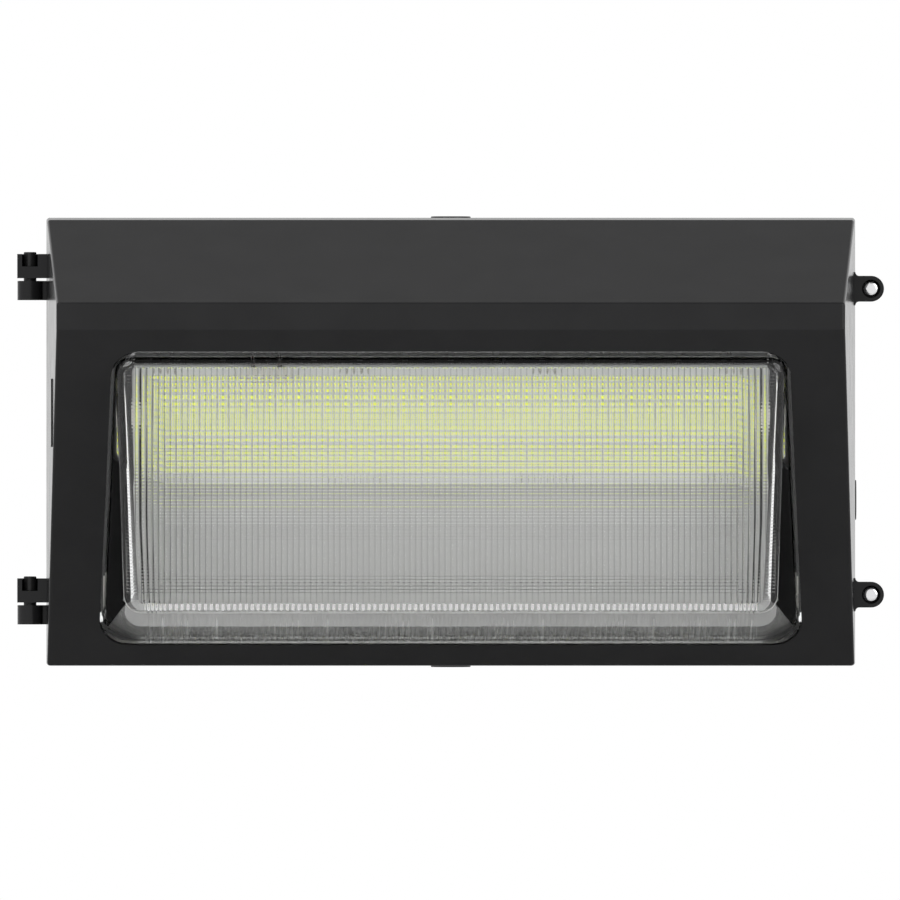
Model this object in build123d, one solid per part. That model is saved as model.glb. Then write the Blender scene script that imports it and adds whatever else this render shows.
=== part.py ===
"""Wall pack light: outdoor wall luminaire with a hinged door and a wedge-shaped glass lens.

Millimetres. +X is to the right and +Z is up. The wall is the plane Y = 0, and the light stands
out towards -Y. The origin is the centre of the flat back face. Depths are written as "forward",
the distance from the wall, so a place is (x, forward, z) and its Y is -forward.
"""

import math
import os

from build123d import *

# ------------------------------------------------------------------ driving dimensions
# whole body
body_width = 428.0
body_height = 237.0
housing_depth = 58.0
parting_gap = 1.0                    # housing rim to door rim, filled by the gasket
silhouette_radius = 2.0              # corners of the body seen from the front

# clearances
seat_clearance = 0.02                # radial, for pieces that are fixed
running_clearance = 0.05             # radial, for the hinge pins
screw_clearance = 0.15               # radial, for screws in plain holes

# back housing casting
housing_wall = 3.0
housing_floor = 4.5
housing_draft = 1.0                  # degrees, narrower towards the wall
rim_width = 8.0
rim_depth = 7.0
gasket_width = 4.0
gasket_groove_depth = 2.5
gasket_inset = 4.5                   # rim edge to the middle of the groove
pocket_depth = 1.5                   # shallow casting pockets in the back face
pocket_margin = 16.0
pocket_web = 30.0
corner_pad_radius = 10.2             # full-depth pads round the wall holes

# door casting
door_depth = 131.0                   # door rim to nose
door_draft = 3.0                     # degrees, side walls
door_wall = 3.2
roof_rim = 9.0                       # rim that drops only a little before the roof's slope
roof_rim_drop = 1.2
roof_drop = 45.6                     # top edge down to the nose
band_height = 14.2                   # upright band under the nose
chin_rim = 10.0                      # rim left under the sloping face
door_edge_radius = 1.8
nose_edge_radius = 0.9               # sharper edge from the roof to the band
pad_length = 25.0                    # blank raised pad on the left side wall
pad_height = 36.0
pad_proud = 0.8
pad_corner = 2.0
pad_behind_nose = 63.0
pad_below_nose = 57.7

# lens opening in the sloping face, measured in that face
opening_top_margin = 14.0
opening_bottom_margin = 13.2
opening_side_margin = 36.0           # to the body's side at the opening's top
opening_flare = 8.1                  # each side, top to bottom
opening_radius = 15.0

# glass lens
lens_setback = 7.0                   # nose to the top of the front face
lens_lean = 12.0                     # the front face's foot, back from its top
lens_side_draw = 12.9                # side wall, root to the foot of the front face
lens_floor_rise = 14.9               # bottom face, root to front
lens_top_inset = 1.4                 # root inside the opening, at the top
lens_bottom_inset = 3.9
lens_side_inset = 1.8
lens_top_fall = 0.8
lens_glass = 4.5
lens_corner_radius = 11.0            # four corners that run from front to root
lens_edge_radius = 6.0               # all around the front face
lens_shoulder_gap = 0.8
lens_shoulder_sunk = 0.6
flange_width = 7.0
flange_thickness = 5.0
lens_gasket_thickness = 1.6
lens_gasket_inset = 1.0              # gasket inside the flange and outside the opening

# clips that hold the lens flange
clip_width = 12.0
clip_thickness = 1.5
clip_over_flange = 5.0
clip_post_radius = 4.0
clip_post_root = 0.4                 # how far a post runs into the door wall
clip_post_gap = 1.5                  # post to flange
clip_screw_depth = 5.0
clip_top_pitch = 110.0
clip_side_margin = 36.0              # opening's corner to the first side clip
clip_foot_margin = 21.4              # opening's foot to the last side clip

# pinned hinges
hinge_out = 8.65                     # body side to the hinge axis
hinge_margin = 32.7                  # body's top or bottom to the hinge gap
hinge_gap = 1.4
knuckle_radius = 6.7
door_knuckle_height = 12.8
housing_knuckle_height = 10.2
hinge_slot_width = 8.3
hinge_slot_height = 6.6
hinge_bush_radius = 3.35
hinge_bush_depth = 8.0
hinge_pin_radius = 2.5
hinge_pin_proud = 1.05
hinge_head_gap = 0.3

# screw lugs on the right
lug_out = 8.3                        # body side to the screw axis
lug_margin = 37.6                    # body's top or bottom to the screw
lug_radius = 6.8
door_lug_length = 14.0
housing_lug_length = 12.0
lug_fillet = 2.0
counterbore_radius = 4.95
counterbore_depth = 4.2
captive_pocket_radius = 4.3
captive_pocket_depth = 7.4
captive_ring_radius = 3.9
captive_ring_thickness = 0.8
captive_ring_set = 0.2
door_screw_engagement = 5.0
hole_runout = 4.0                    # housing hole past the screw's tip

# screws: shank radius, head radius, head height
head_dome = 0.8                      # rounding of a screw's head, as a share of its height
M5 = (2.5, 4.7, 3.2)
M4 = (2.0, 3.8, 2.6)
M3 = (1.5, 2.75, 2.0)

# threaded closure plugs
hub_radius = 9.5
hub_boss_radius = 14.0
hub_boss_length = 9.0
hub_below_middle = 30.8              # side hub
plug_head_radius = 10.55
plug_head_height = 2.0
plug_head_clearance = 0.35
plug_proud = 0.95
plug_seal_thickness = 0.8
plug_shank_length = 9.0
plug_key_radius = 4.6
plug_key_depth = 4.0

# wall fixing
wall_hole_radius = 3.4
wall_hole_margin_x = 26.0
wall_hole_margin_z = 26.5
box_hole_radius = 2.5
box_hole_spacing = 88.9
entry_radius = 11.1

# LED board and its plate, measured in the frame of the lit face
board_tilt = 41.0                    # degrees, faces forward and down
board_behind_nose = 68.0
board_below_band = 49.2
board_side_margin = 13.0             # board's end inside the opening's top corner
board_height = 84.0
board_thickness = 1.6
led_pitch = 8.0
led_row_pitch = 4.27
led_rows = 16
led_end_margin = 5.0
led_size = (3.5, 2.8, 0.7)
plate_thickness = 4.0
plate_side = 1.0                     # plate past the board, at each end
plate_over = 4.0                     # plate past the board, at the top
plate_under = 10.0
rib_height = 10.0
rib_thickness = 3.0
rib_pitch = 24.0
rib_inset = 4.0
tap_depth = 3.4                      # screw holes into the plate
screw_tip_gap = 0.3                  # screw's end to the bottom of such a hole
board_screw_inset_x = 15.0
board_screw_inset_y = 4.0
connector_size = (9.0, 6.5, 4.5)
connector_at = 104.0                 # first connector, left of the middle
connector_pitch = 14.0
connector_inset = 3.5

# reflector
sheet = 1.0
reflector_flange = 9.0
reflector_gap = 0.5                  # flange to the board and to the plate's edge
reflector_foot_forward = 7.0         # from the door rim
reflector_foot_up = 21.5             # from the body's bottom
reflector_heel = 7.0                 # lip below the floor, back and down behind the lens's foot
reflector_heel_drop = 6.0
cheek_behind_nose = 80.0             # lower front corner of the side cheeks
cheek_up = 34.5
cheek_over = 4.0                     # cheek past the lit face, at the top
reflector_screw_inset = 45.0
cheek_clip_size = (4.4, 8.0, 11.8)
cheek_clip_up = 3.9                  # from the middle of the board

# brackets between the housing posts and the plate
bracket_thickness = 2.0
bracket_flange = 18.0
bracket_foot_height = 18.0
bracket_heel = 10.0
bracket_hole_radius = 20.0
bracket_hole_back = 38.0             # from the middle of the board
bracket_hole_up = 12.5
post_out = 8.0                       # plate's end to the post
post_radius = 5.0
post_short = 8.0                     # post's top below the housing rim
post_up = 40.5                       # lower posts, from the body's bottom
post_down = 56.5                     # upper posts, from the body's top
post_screw_depth = 10.0
plate_screw_inset = 10.0
plate_screw_pitch = 48.0

# driver, surge protector and wiring
driver_size = (165.0, 34.0, 62.0)
driver_x = -70.0
driver_down = 46.5                   # from the body's top to its middle
driver_stand = 2.0                   # posts that hold it off the housing floor
driver_ear = 12.0
driver_ear_width = 18.0
driver_ear_thickness = 2.0
driver_corner = 3.0
surge_size = (52.0, 24.0, 34.0)
surge_x = 80.0
lead_radius = 1.3
lead_bend = 5.0
lead_pitch = 6.0
surge_lead_pitch = 10.0
surge_lead_step = 7.0
surge_lead_drop = 25.0               # upper end of the wire nuts to the lowest crossing
nut_length = 26.0
nut_radius = 6.5
nut_tip_radius = 4.0
nut_x = (-60.0, -36.0, -12.0)
nut_up = 17.5                        # from the body's bottom
ground_x = 40.0
ground_up = 36.5                     # from the body's bottom
ground_boss_height = 6.0
terminal_radius = 4.5
terminal_thickness = 0.8
terminal_barrel = 2.0
terminal_length = 12.0

# ------------------------------------------------------------------ places that follow
half_width = body_width / 2
half_height = body_height / 2
door_rear = housing_depth + parting_gap
nose = door_rear + door_depth
nose_z = half_height - roof_drop
band_bottom = nose_z - band_height
face_run = door_depth - chin_rim
face_fall = band_bottom + half_height
face_angle = math.atan2(face_run, face_fall)
face_length = math.hypot(face_run, face_fall)

opening_half_top = half_width - opening_side_margin
opening_half_bottom = opening_half_top + opening_flare
opening_foot = face_length - opening_bottom_margin      # down the sloping face
lens_root_top_z = band_bottom - (opening_top_margin + lens_top_inset) * math.cos(face_angle)
lens_root_bottom_z = band_bottom - (opening_foot - lens_bottom_inset) * math.cos(face_angle)
lens_front_top = (nose - lens_setback, lens_root_top_z - lens_top_fall)
lens_front_bottom = (nose - lens_setback - lens_lean, lens_root_bottom_z + lens_floor_rise)
lens_front_half = opening_half_bottom - lens_side_inset - lens_side_draw
flange_top_depth = door_wall + lens_gasket_thickness
flange_back_depth = flange_top_depth + flange_thickness
clip_post_out = flange_width + clip_post_gap + clip_post_radius

hinge_x = -(half_width + hinge_out)
hinge_forward = housing_depth + parting_gap / 2
hinge_z = half_height - hinge_margin
lug_x = half_width + lug_out
lug_z = half_height - lug_margin
door_lug_front = door_rear + door_lug_length
screw_seat = door_lug_front - counterbore_depth

hub_forward = housing_depth / 2
plug_head_back = plug_proud - plug_head_height
wall_hole_x = half_width - wall_hole_margin_x
wall_hole_z = half_height - wall_hole_margin_z

board_angle = math.radians(board_tilt)
board_middle = (nose - board_behind_nose, band_bottom - board_below_band)
board_half_width = opening_half_top - board_side_margin
board_top = board_height / 2
led_columns = int(2 * (board_half_width - led_end_margin) / led_pitch) + 1
plate_half_width = board_half_width + plate_side
plate_top = board_top + plate_over
plate_bottom = -board_top - plate_under
plate_back = -board_thickness - plate_thickness
bracket_back = plate_back - bracket_thickness
screw_reach = tap_depth - screw_tip_gap
rib_count = 2 * int((plate_half_width - bracket_flange - rib_thickness) / rib_pitch) + 1
board_screw_reach = board_half_width - board_screw_inset_x
board_screw_x = [share * board_screw_reach / 3 for share in (-3, -1, 1, 3)]
board_screw_y = (board_screw_inset_y - board_top, board_top - board_screw_inset_y)
connector_x = (-connector_at, connector_pitch - connector_at)
connector_y = board_top - connector_inset

reflector_bend = plate_bottom + reflector_gap
reflector_flange_top = reflector_bend + reflector_flange - reflector_gap
reflector_foot = (door_rear + reflector_foot_forward, reflector_foot_up - half_height)
reflector_screw_y = (reflector_flange_top + reflector_bend) / 2
reflector_screw_reach = board_half_width - reflector_screw_inset
reflector_screw_x = (-reflector_screw_reach, 0.0, reflector_screw_reach)
cheek_front_bottom = (nose - cheek_behind_nose, cheek_up - half_height)
cheek_clip_z = board_middle[1] + cheek_clip_up

post_x = plate_half_width + post_out
post_forward = housing_depth - post_short
post_z = (post_up - half_height, half_height - post_down)
plate_screw_x = plate_half_width - plate_screw_inset
plate_screw_y = (-plate_screw_pitch / 2, plate_screw_pitch / 2)
bracket_hole_at = (board_middle[0] - bracket_hole_back, board_middle[1] + bracket_hole_up)

driver_back = housing_floor + driver_stand
driver_z = half_height - driver_down
nut_z = nut_up - half_height
nut_open_z = nut_z + nut_length
ground_z = ground_up - half_height
ground_top = housing_floor + ground_boss_height

TOWARDS_WALL = Vector(0, 1, 0)
FORWARD = Vector(0, -1, 0)
UP = Vector(0, 0, 1)
DOWN = Vector(0, 0, -1)

# each hub: where its axis leaves the body (x, z), and which way it points
HUBS = [
    ((0.0, half_height), UP),
    ((0.0, -half_height), DOWN),
    ((half_width, -hub_below_middle), Vector(1, 0, 0)),
]


# ------------------------------------------------------------------ helpers
def place(x, forward, z):
    return Vector(x, -forward, z)


def side_prism(points, x0, x1):
    """Solid from a (forward, z) outline that runs along X from x0 to x1."""
    outline = Polygon(*[(-forward, z) for forward, z in points], align=None)
    return extrude(Plane.YZ.offset(x0) * outline, amount=x1 - x0, dir=(1, 0, 0))


def plan_prism(points, half):
    """Solid from an (x, forward) outline, extruded up and down."""
    outline = Polygon(*[(x, -forward) for x, forward in points], align=None)
    return extrude(Plane.XY * outline, amount=half, both=True)


def block(x0, x1, forward0, forward1, z0, z1):
    middle = place((x0 + x1) / 2, (forward0 + forward1) / 2, (z0 + z1) / 2)
    return Pos(*middle) * Box(abs(x1 - x0), abs(forward1 - forward0), abs(z1 - z0))


def rod(start, direction, length, radius):
    """Cylinder from a place along a direction."""
    return Plane(origin=start, z_dir=direction) * Cylinder(
        radius, length, align=(Align.CENTER, Align.CENTER, Align.MIN)
    )


def tube(points, radius):
    """Round lead through (x, forward, z) points, with rounded corners."""
    corners = [place(*point) for point in points]
    path = FilletPolyline(*corners, radius=lead_bend) if len(corners) > 2 else Line(*corners)
    return sweep(Plane(origin=path @ 0, z_dir=path % 0) * Circle(radius), path=path)


def screw(seat, inwards, size, length):
    """Pan head screw: the shank goes inwards from its seat, and the head has a cross recess."""
    radius, head_radius, head_height = size
    shank = rod(seat, inwards, length, radius)
    head = rod(seat - inwards * head_height, inwards, head_height, head_radius)
    rim = head.edges().filter_by(GeomType.CIRCLE).sort_by(Axis(seat, inwards))[0]
    head = fillet(rim, head_height * head_dome)
    top = Plane(origin=seat - inwards * head_height, z_dir=inwards)
    arm = Box(head_radius * 1.1, head_radius * 0.22, head_height * 1.2)
    return shank + head - top * arm - top * Rot(0, 0, 90) * arm


def inset_outline(points, insets):
    """Moves each edge of a convex counter-clockwise outline inwards by its own distance."""
    lines = []
    for (x0, y0), (x1, y1), inset in zip(points, points[1:] + points[:1], insets):
        length = math.hypot(x1 - x0, y1 - y0)
        a, b = (y0 - y1) / length, (x1 - x0) / length
        lines.append((a, b, a * x0 + b * y0 + inset))
    moved = []
    for index, (d, e, f) in enumerate(lines):
        a, b, c = lines[index - 1]
        cross = a * e - b * d
        moved.append(((c * e - b * f) / cross, (a * f - c * d) / cross))
    return moved


def sheet_outline(points, thickness):
    """Outline of a bent sheet whose middle follows an open (forward, z) line."""
    left, right = [], []
    count = len(points)
    for index, (x, y) in enumerate(points):
        sides = []
        for start in range(max(index - 1, 0), min(index, count - 2) + 1):
            (x0, y0), (x1, y1) = points[start], points[start + 1]
            length = math.hypot(x1 - x0, y1 - y0)
            sides.append(((y0 - y1) / length, (x1 - x0) / length))
        a = sum(side[0] for side in sides) / len(sides)
        b = sum(side[1] for side in sides) / len(sides)
        reach = thickness / 2 / (a * a + b * b)
        left.append((x + a * reach, y + b * reach))
        right.append((x - a * reach, y - b * reach))
    return left + right[::-1]


# ------------------------------------------------------------------ sloping face and lit face
def sloping_plane(depth=0.0):
    """Plane of the door's sloping face, or one that lies deeper. Local Y is up the face."""
    outwards = Vector(0, -math.cos(face_angle), -math.sin(face_angle))
    origin = place(0, nose, band_bottom) - outwards * depth
    return Plane(origin=origin, x_dir=(1, 0, 0), z_dir=outwards)


def face_forward(z):
    """Forward distance of the sloping face at a height."""
    return nose - (band_bottom - z) * math.tan(face_angle)


def opening_half(drop):
    """Half width of the lens opening at a distance down the sloping face."""
    share = (drop - opening_top_margin) / (opening_foot - opening_top_margin)
    return opening_half_top + (opening_half_bottom - opening_half_top) * share


def opening_outline(grow):
    """The lens opening in the sloping face's plane, grown on every side."""
    top = -opening_top_margin + grow
    bottom = -opening_foot - grow
    outline = Polygon(
        (opening_half_top + grow, top),
        (-opening_half_top - grow, top),
        (-opening_half_bottom - grow, bottom),
        (opening_half_bottom + grow, bottom),
        align=None,
    )
    return fillet(outline.vertices(), opening_radius + grow)


def slab(outline, depth0, depth1):
    """Solid with an outline in the sloping face, between two depths behind it."""
    return extrude(sloping_plane(depth1) * outline, amount=depth1 - depth0)


def board_plane():
    """Lit face of the LED board. Local Y is up the board."""
    outwards = Vector(0, -math.cos(board_angle), -math.sin(board_angle))
    return Plane(origin=place(0, *board_middle), x_dir=(1, 0, 0), z_dir=outwards)


def board_block(x0, x1, y0, y1, z0, z1):
    middle = Pos((x0 + x1) / 2, (y0 + y1) / 2, (z0 + z1) / 2)
    return board_plane() * middle * Box(abs(x1 - x0), abs(y1 - y0), abs(z1 - z0))


def board_at(x, y, z):
    """World place of a point in the lit face's frame."""
    return board_plane().from_local_coords(Vector(x, y, z))


def board_side(y, z):
    """(forward, z) of a point in the lit face's frame."""
    spot = board_at(0, y, z)
    return -spot.Y, spot.Z


# ------------------------------------------------------------------ back housing
def hub_at(hub, out):
    """A place on a hub's axis, measured outwards from the body's side."""
    (x, z), outwards = hub
    return place(x, hub_forward, z) + outwards * out


def gasket_ring(forward0, forward1):
    """Rectangular ring in the housing rim's groove."""
    outer = gasket_inset - gasket_width / 2
    inner = gasket_inset + gasket_width / 2
    rings = [
        block(
            -half_width + inset, half_width - inset, forward0, forward1,
            -half_height + inset, half_height - inset,
        )
        for inset in (outer, inner)
    ]
    return rings[0] - rings[1]


def housing_shell():
    """Tray with a draft, a flat floor and an inward rim."""
    front = Plane(origin=place(0, housing_depth, 0), x_dir=(1, 0, 0), z_dir=TOWARDS_WALL)
    outer = extrude(
        front * RectangleRounded(body_width, body_height, silhouette_radius),
        amount=housing_depth, taper=housing_draft,
    )
    opening = RectangleRounded(
        body_width - 2 * housing_wall, body_height - 2 * housing_wall, silhouette_radius
    )
    cavity = extrude(front * opening, amount=housing_depth - housing_floor, taper=housing_draft)
    back = housing_depth - rim_depth
    rim = block(-half_width, half_width, back, housing_depth, -half_height, half_height)
    mouth = block(
        -half_width + rim_width, half_width - rim_width, back - 1, housing_depth + 1,
        -half_height + rim_width, half_height - rim_width,
    )
    return outer - (cavity - (rim - mouth))


def back_pockets():
    """Four shallow pockets on the wall side that leave a rim, a cross and corner pads."""
    pockets = []
    for side_x in (-1, 1):
        for side_z in (-1, 1):
            pocket = block(
                side_x * pocket_web, side_x * (half_width - pocket_margin), -1, pocket_depth,
                side_z * pocket_web, side_z * (half_height - pocket_margin),
            )
            corner = place(side_x * wall_hole_x, -1.5, side_z * wall_hole_z)
            pockets.append(pocket - rod(corner, FORWARD, 2 * pocket_depth + 2, corner_pad_radius))
    return pockets


def ear_x():
    """X of the driver's two screws."""
    reach = driver_size[0] / 2 + driver_ear / 2
    return driver_x - reach, driver_x + reach


def back_housing():
    body = housing_shell()
    for hub in HUBS:
        inside = hub_at(hub, -hub_boss_length - housing_wall)
        body += rod(inside, hub[1], hub_boss_length + housing_wall / 2, hub_boss_radius)
    root = housing_floor - 1
    for x in (-post_x, post_x):
        for z in post_z:
            body += rod(place(x, root, z), FORWARD, post_forward - root, post_radius)
    for x in ear_x():
        body += rod(place(x, root, driver_z), FORWARD, driver_back - root, post_radius)
    body += rod(place(ground_x, root, ground_z), FORWARD, ground_top - root, post_radius)
    for side in (-1, 1):
        body += housing_knuckle(side * hinge_z)
        body += lug(side * lug_z, housing_depth - housing_lug_length, housing_depth)

    body -= gasket_ring(housing_depth - gasket_groove_depth, housing_depth + 1)
    for pocket in back_pockets():
        body -= pocket
    for hub in HUBS:
        inside = hub_at(hub, -hub_boss_length - housing_wall - 1)
        body -= rod(inside, hub[1], hub_boss_length + 3 * housing_wall, hub_radius)
        seat = hub_at(hub, plug_head_back - plug_seal_thickness)
        body -= rod(seat, hub[1], 2 * housing_wall, plug_head_radius + plug_head_clearance)
    for x in (-wall_hole_x, wall_hole_x):
        for z in (-wall_hole_z, wall_hole_z):
            body -= rod(place(x, -1, z), FORWARD, housing_floor + 2, wall_hole_radius)
    for x in (-box_hole_spacing / 2, box_hole_spacing / 2):
        body -= rod(place(x, -1, 0), FORWARD, housing_floor + 2, box_hole_radius)
    body -= rod(place(0, -1, 0), FORWARD, housing_floor + 2, entry_radius)

    tapped = M4[0] + seat_clearance
    for x in (-post_x, post_x):
        for z in post_z:
            body -= rod(place(x, post_forward + 1, z), TOWARDS_WALL, post_screw_depth + 1, tapped)
    for x in ear_x():
        top = place(x, driver_back + 1, driver_z)
        body -= rod(top, TOWARDS_WALL, driver_stand + 3, tapped)
    top = place(ground_x, ground_top + 1, ground_z)
    body -= rod(top, TOWARDS_WALL, ground_boss_height + 1, tapped)
    for side in (-1, 1):
        top = place(hinge_x, hinge_forward, side * hinge_z)
        depth = hinge_gap / 2 + hinge_bush_depth
        body -= rod(top, DOWN, depth, hinge_bush_radius + seat_clearance)
        mouth = place(lug_x, housing_depth + 1, side * lug_z)
        depth = door_screw_engagement + hole_runout
        body -= rod(mouth, TOWARDS_WALL, depth, M5[0] + screw_clearance)
    return body


# ------------------------------------------------------------------ hinges and lugs
def housing_knuckle(z):
    """Round barrel under the hinge gap, with a web back to the housing's side."""
    top = z - hinge_gap / 2
    bottom = top - housing_knuckle_height
    barrel = rod(place(hinge_x, hinge_forward, bottom), UP, top - bottom, knuckle_radius)
    web = block(
        hinge_x, -half_width + housing_wall / 2,
        hinge_forward - knuckle_radius, housing_depth, bottom, top,
    )
    return barrel + web


def door_knuckle(z):
    """Knuckle above the hinge gap: flat in front, round behind the axis so that it can turn."""
    bottom = z + hinge_gap / 2
    top = bottom + door_knuckle_height
    front = hinge_forward + knuckle_radius
    barrel = rod(place(hinge_x, hinge_forward, bottom), UP, top - bottom, knuckle_radius)
    arm = block(hinge_x - knuckle_radius, hinge_x + 1, hinge_forward, front, bottom, top)
    web = block(hinge_x, -half_width + door_wall / 2, door_rear, front, bottom, top)
    floor = top - hinge_slot_height
    slot_half = hinge_slot_width / 2
    slot = block(
        hinge_x - slot_half, hinge_x + slot_half, hinge_forward, front + 1, floor, top + 1
    )
    well = rod(place(hinge_x, hinge_forward, floor), UP, hinge_slot_height + 1, slot_half)
    bore_radius = hinge_pin_radius + running_clearance
    bore = rod(place(hinge_x, hinge_forward, bottom - 1), UP, door_knuckle_height, bore_radius)
    return barrel + arm + web - slot - well - bore


def lug(z, forward0, forward1):
    """Round-ended ear beside the body for a door screw, with small fillets at its root."""
    length = forward1 - forward0
    root = half_width - housing_wall / 2
    ear = block(root, lug_x, forward0, forward1, z - lug_radius, z + lug_radius)
    ear += rod(place(lug_x, forward0, z), FORWARD, length, lug_radius)
    for side in (-1, 1):
        corner = z + side * lug_radius
        tip = corner + side * lug_fillet
        fill = block(root, half_width + lug_fillet, forward0, forward1, corner, tip)
        scoop = rod(
            place(half_width + lug_fillet, forward0 - 1, tip), FORWARD, length + 2, lug_fillet
        )
        ear += fill - scoop
    return ear


def hinge_bushes():
    """Plain bushes in the housing knuckles that stand up and carry the door knuckles."""
    bushes = []
    for z in (-hinge_z, hinge_z):
        length = hinge_bush_depth + hinge_gap / 2
        foot = place(hinge_x, hinge_forward, z - length)
        outer = rod(foot, UP, length + hinge_gap / 2, hinge_bush_radius)
        bushes.append(outer - rod(foot - UP, UP, length + 3, hinge_pin_radius + seat_clearance))
    return bushes


def hinge_pins():
    """Shoulder pins: the shank runs through bush and knuckle, the head sits in the slot."""
    pins = []
    for z in (-hinge_z, hinge_z):
        knuckle_top = z + hinge_gap / 2 + door_knuckle_height
        head_bottom = knuckle_top - hinge_slot_height + hinge_head_gap
        head_top = knuckle_top + hinge_pin_proud
        foot = z - hinge_gap / 2 - hinge_bush_depth + hinge_gap
        shank = rod(
            place(hinge_x, hinge_forward, foot), UP, head_bottom - foot + 1, hinge_pin_radius
        )
        start = place(hinge_x, hinge_forward, head_bottom)
        head = rod(start, UP, head_top - head_bottom, hinge_bush_radius)
        rim = head.edges().filter_by(GeomType.CIRCLE).sort_by(Axis.Z)[-1]
        pins.append(shank + fillet(rim, hinge_pin_proud / 2))
    return pins


def door_screw(z):
    """Captive screw of one lug, from the counterbore into the housing's lug."""
    length = screw_seat - housing_depth + door_screw_engagement
    return screw(place(lug_x, screw_seat, z), TOWARDS_WALL, M5, length)


def captive_ring(z):
    """Ring pressed on the screw behind the door lug's web, which keeps the screw in the door."""
    back = place(lug_x, door_rear + captive_ring_set, z)
    ring = rod(back, FORWARD, captive_ring_thickness, captive_ring_radius)
    return ring - rod(back - FORWARD, FORWARD, 2 * captive_ring_thickness + 1, M5[0] + seat_clearance)


# ------------------------------------------------------------------ door casting
def door_form(inset):
    """The door's outer form, or its hollow when inset by the wall."""
    profile = [
        (door_rear, -half_height),
        (door_rear + chin_rim, -half_height),
        (nose, band_bottom),
        (nose, nose_z),
        (door_rear + roof_rim, half_height - roof_rim_drop),
        (door_rear, half_height),
    ]
    taper = door_depth * math.tan(math.radians(door_draft))
    plan = [
        (-half_width, door_rear),
        (half_width, door_rear),
        (half_width - taper, nose),
        (-half_width + taper, nose),
    ]
    side = side_prism(inset_outline(profile, [inset] * 6), -half_width - 1, half_width + 1)
    return side & plan_prism(inset_outline(plan, [inset, inset, 0, inset]), half_height + 1)


def clip_places():
    """(x, y, towards the lens) of the lens clips' screws in the sloping face's plane."""
    top = clip_post_out - opening_top_margin
    places = [(x, top, (0, -1)) for x in (-clip_top_pitch, 0.0, clip_top_pitch)]
    first = opening_top_margin + clip_side_margin
    last = opening_foot - clip_foot_margin
    for drop in (first, (first + last) / 2, last):
        reach = opening_half(drop) + clip_post_out
        places += [(-reach, -drop, (1, 0)), (reach, -drop, (-1, 0))]
    return places


def side_pad():
    """Blank raised pad that follows the left side wall's draft."""
    draft = math.radians(door_draft)
    forward = nose - pad_behind_nose
    x = -half_width + (forward - door_rear) * math.tan(draft)
    pad = Box(2 * pad_proud, pad_length, pad_height)
    pad = fillet(pad.edges().filter_by(Axis.X), pad_corner)
    return Pos(*place(x, forward, nose_z - pad_below_nose)) * Rot(0, 0, door_draft) * pad


def front_door():
    form = door_form(0)
    front_edges = form.edges().filter_by(lambda edge: (edge @ 0.5).Y < -door_rear - 0.01)
    nose_edge = front_edges.filter_by(lambda edge: (edge @ 0.5).Y < -nose + 0.01).sort_by(Axis.Z)[-1]
    others = [edge for edge in front_edges if edge != nose_edge]
    rounded = fillet(others, door_edge_radius)
    nose_edges = [
        edge for edge in rounded.edges().filter_by(Axis.X)
        if abs((edge @ 0).Z - nose_z) < 0.01 and abs((edge @ 0).Y + nose) < 0.01
    ]
    door = fillet(nose_edges, nose_edge_radius) - door_form(door_wall)
    door -= block(
        -half_width + rim_width, half_width - rim_width, door_rear - 1, door_rear + door_wall + 1,
        -half_height + rim_width, half_height - rim_width,
    )
    door -= slab(opening_outline(0), -2, door_wall + 2)
    for x, y, _ in clip_places():
        post = sloping_plane(flange_back_depth) * Pos(x, y) * Circle(clip_post_radius)
        door += extrude(post, amount=flange_back_depth - door_wall + clip_post_root)
    for x, y, _ in clip_places():
        hole = sloping_plane(flange_back_depth + 1) * Pos(x, y) * Circle(M4[0] + seat_clearance)
        door -= extrude(hole, amount=clip_screw_depth + 1.5)
    for side in (-1, 1):
        door += door_knuckle(side * hinge_z)
        door += lug(side * lug_z, door_rear, door_lug_front)
        z = side * lug_z
        door -= rod(place(lug_x, screw_seat, z), FORWARD, counterbore_depth + 1, counterbore_radius)
        through = place(lug_x, door_rear - 1, z)
        door -= rod(through, FORWARD, door_lug_length, M5[0] + screw_clearance)
        door -= rod(through, FORWARD, captive_pocket_depth + 1, captive_pocket_radius)
    return door + side_pad()


# ------------------------------------------------------------------ lens
def lens_side_plane(inset):
    """Outer plane of the lens's right side wall, moved inwards by the inset."""
    top = place(
        opening_half_top - lens_side_inset, face_forward(lens_root_top_z), lens_root_top_z
    )
    bottom = place(
        opening_half_bottom - lens_side_inset, face_forward(lens_root_bottom_z),
        lens_root_bottom_z,
    )
    front = place(lens_front_half, *lens_front_bottom)
    normal = (bottom - top).cross(front - top).normalized()
    normal = normal if normal.X > 0 else -normal
    return Plane(origin=top - normal * inset, z_dir=normal)


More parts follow.
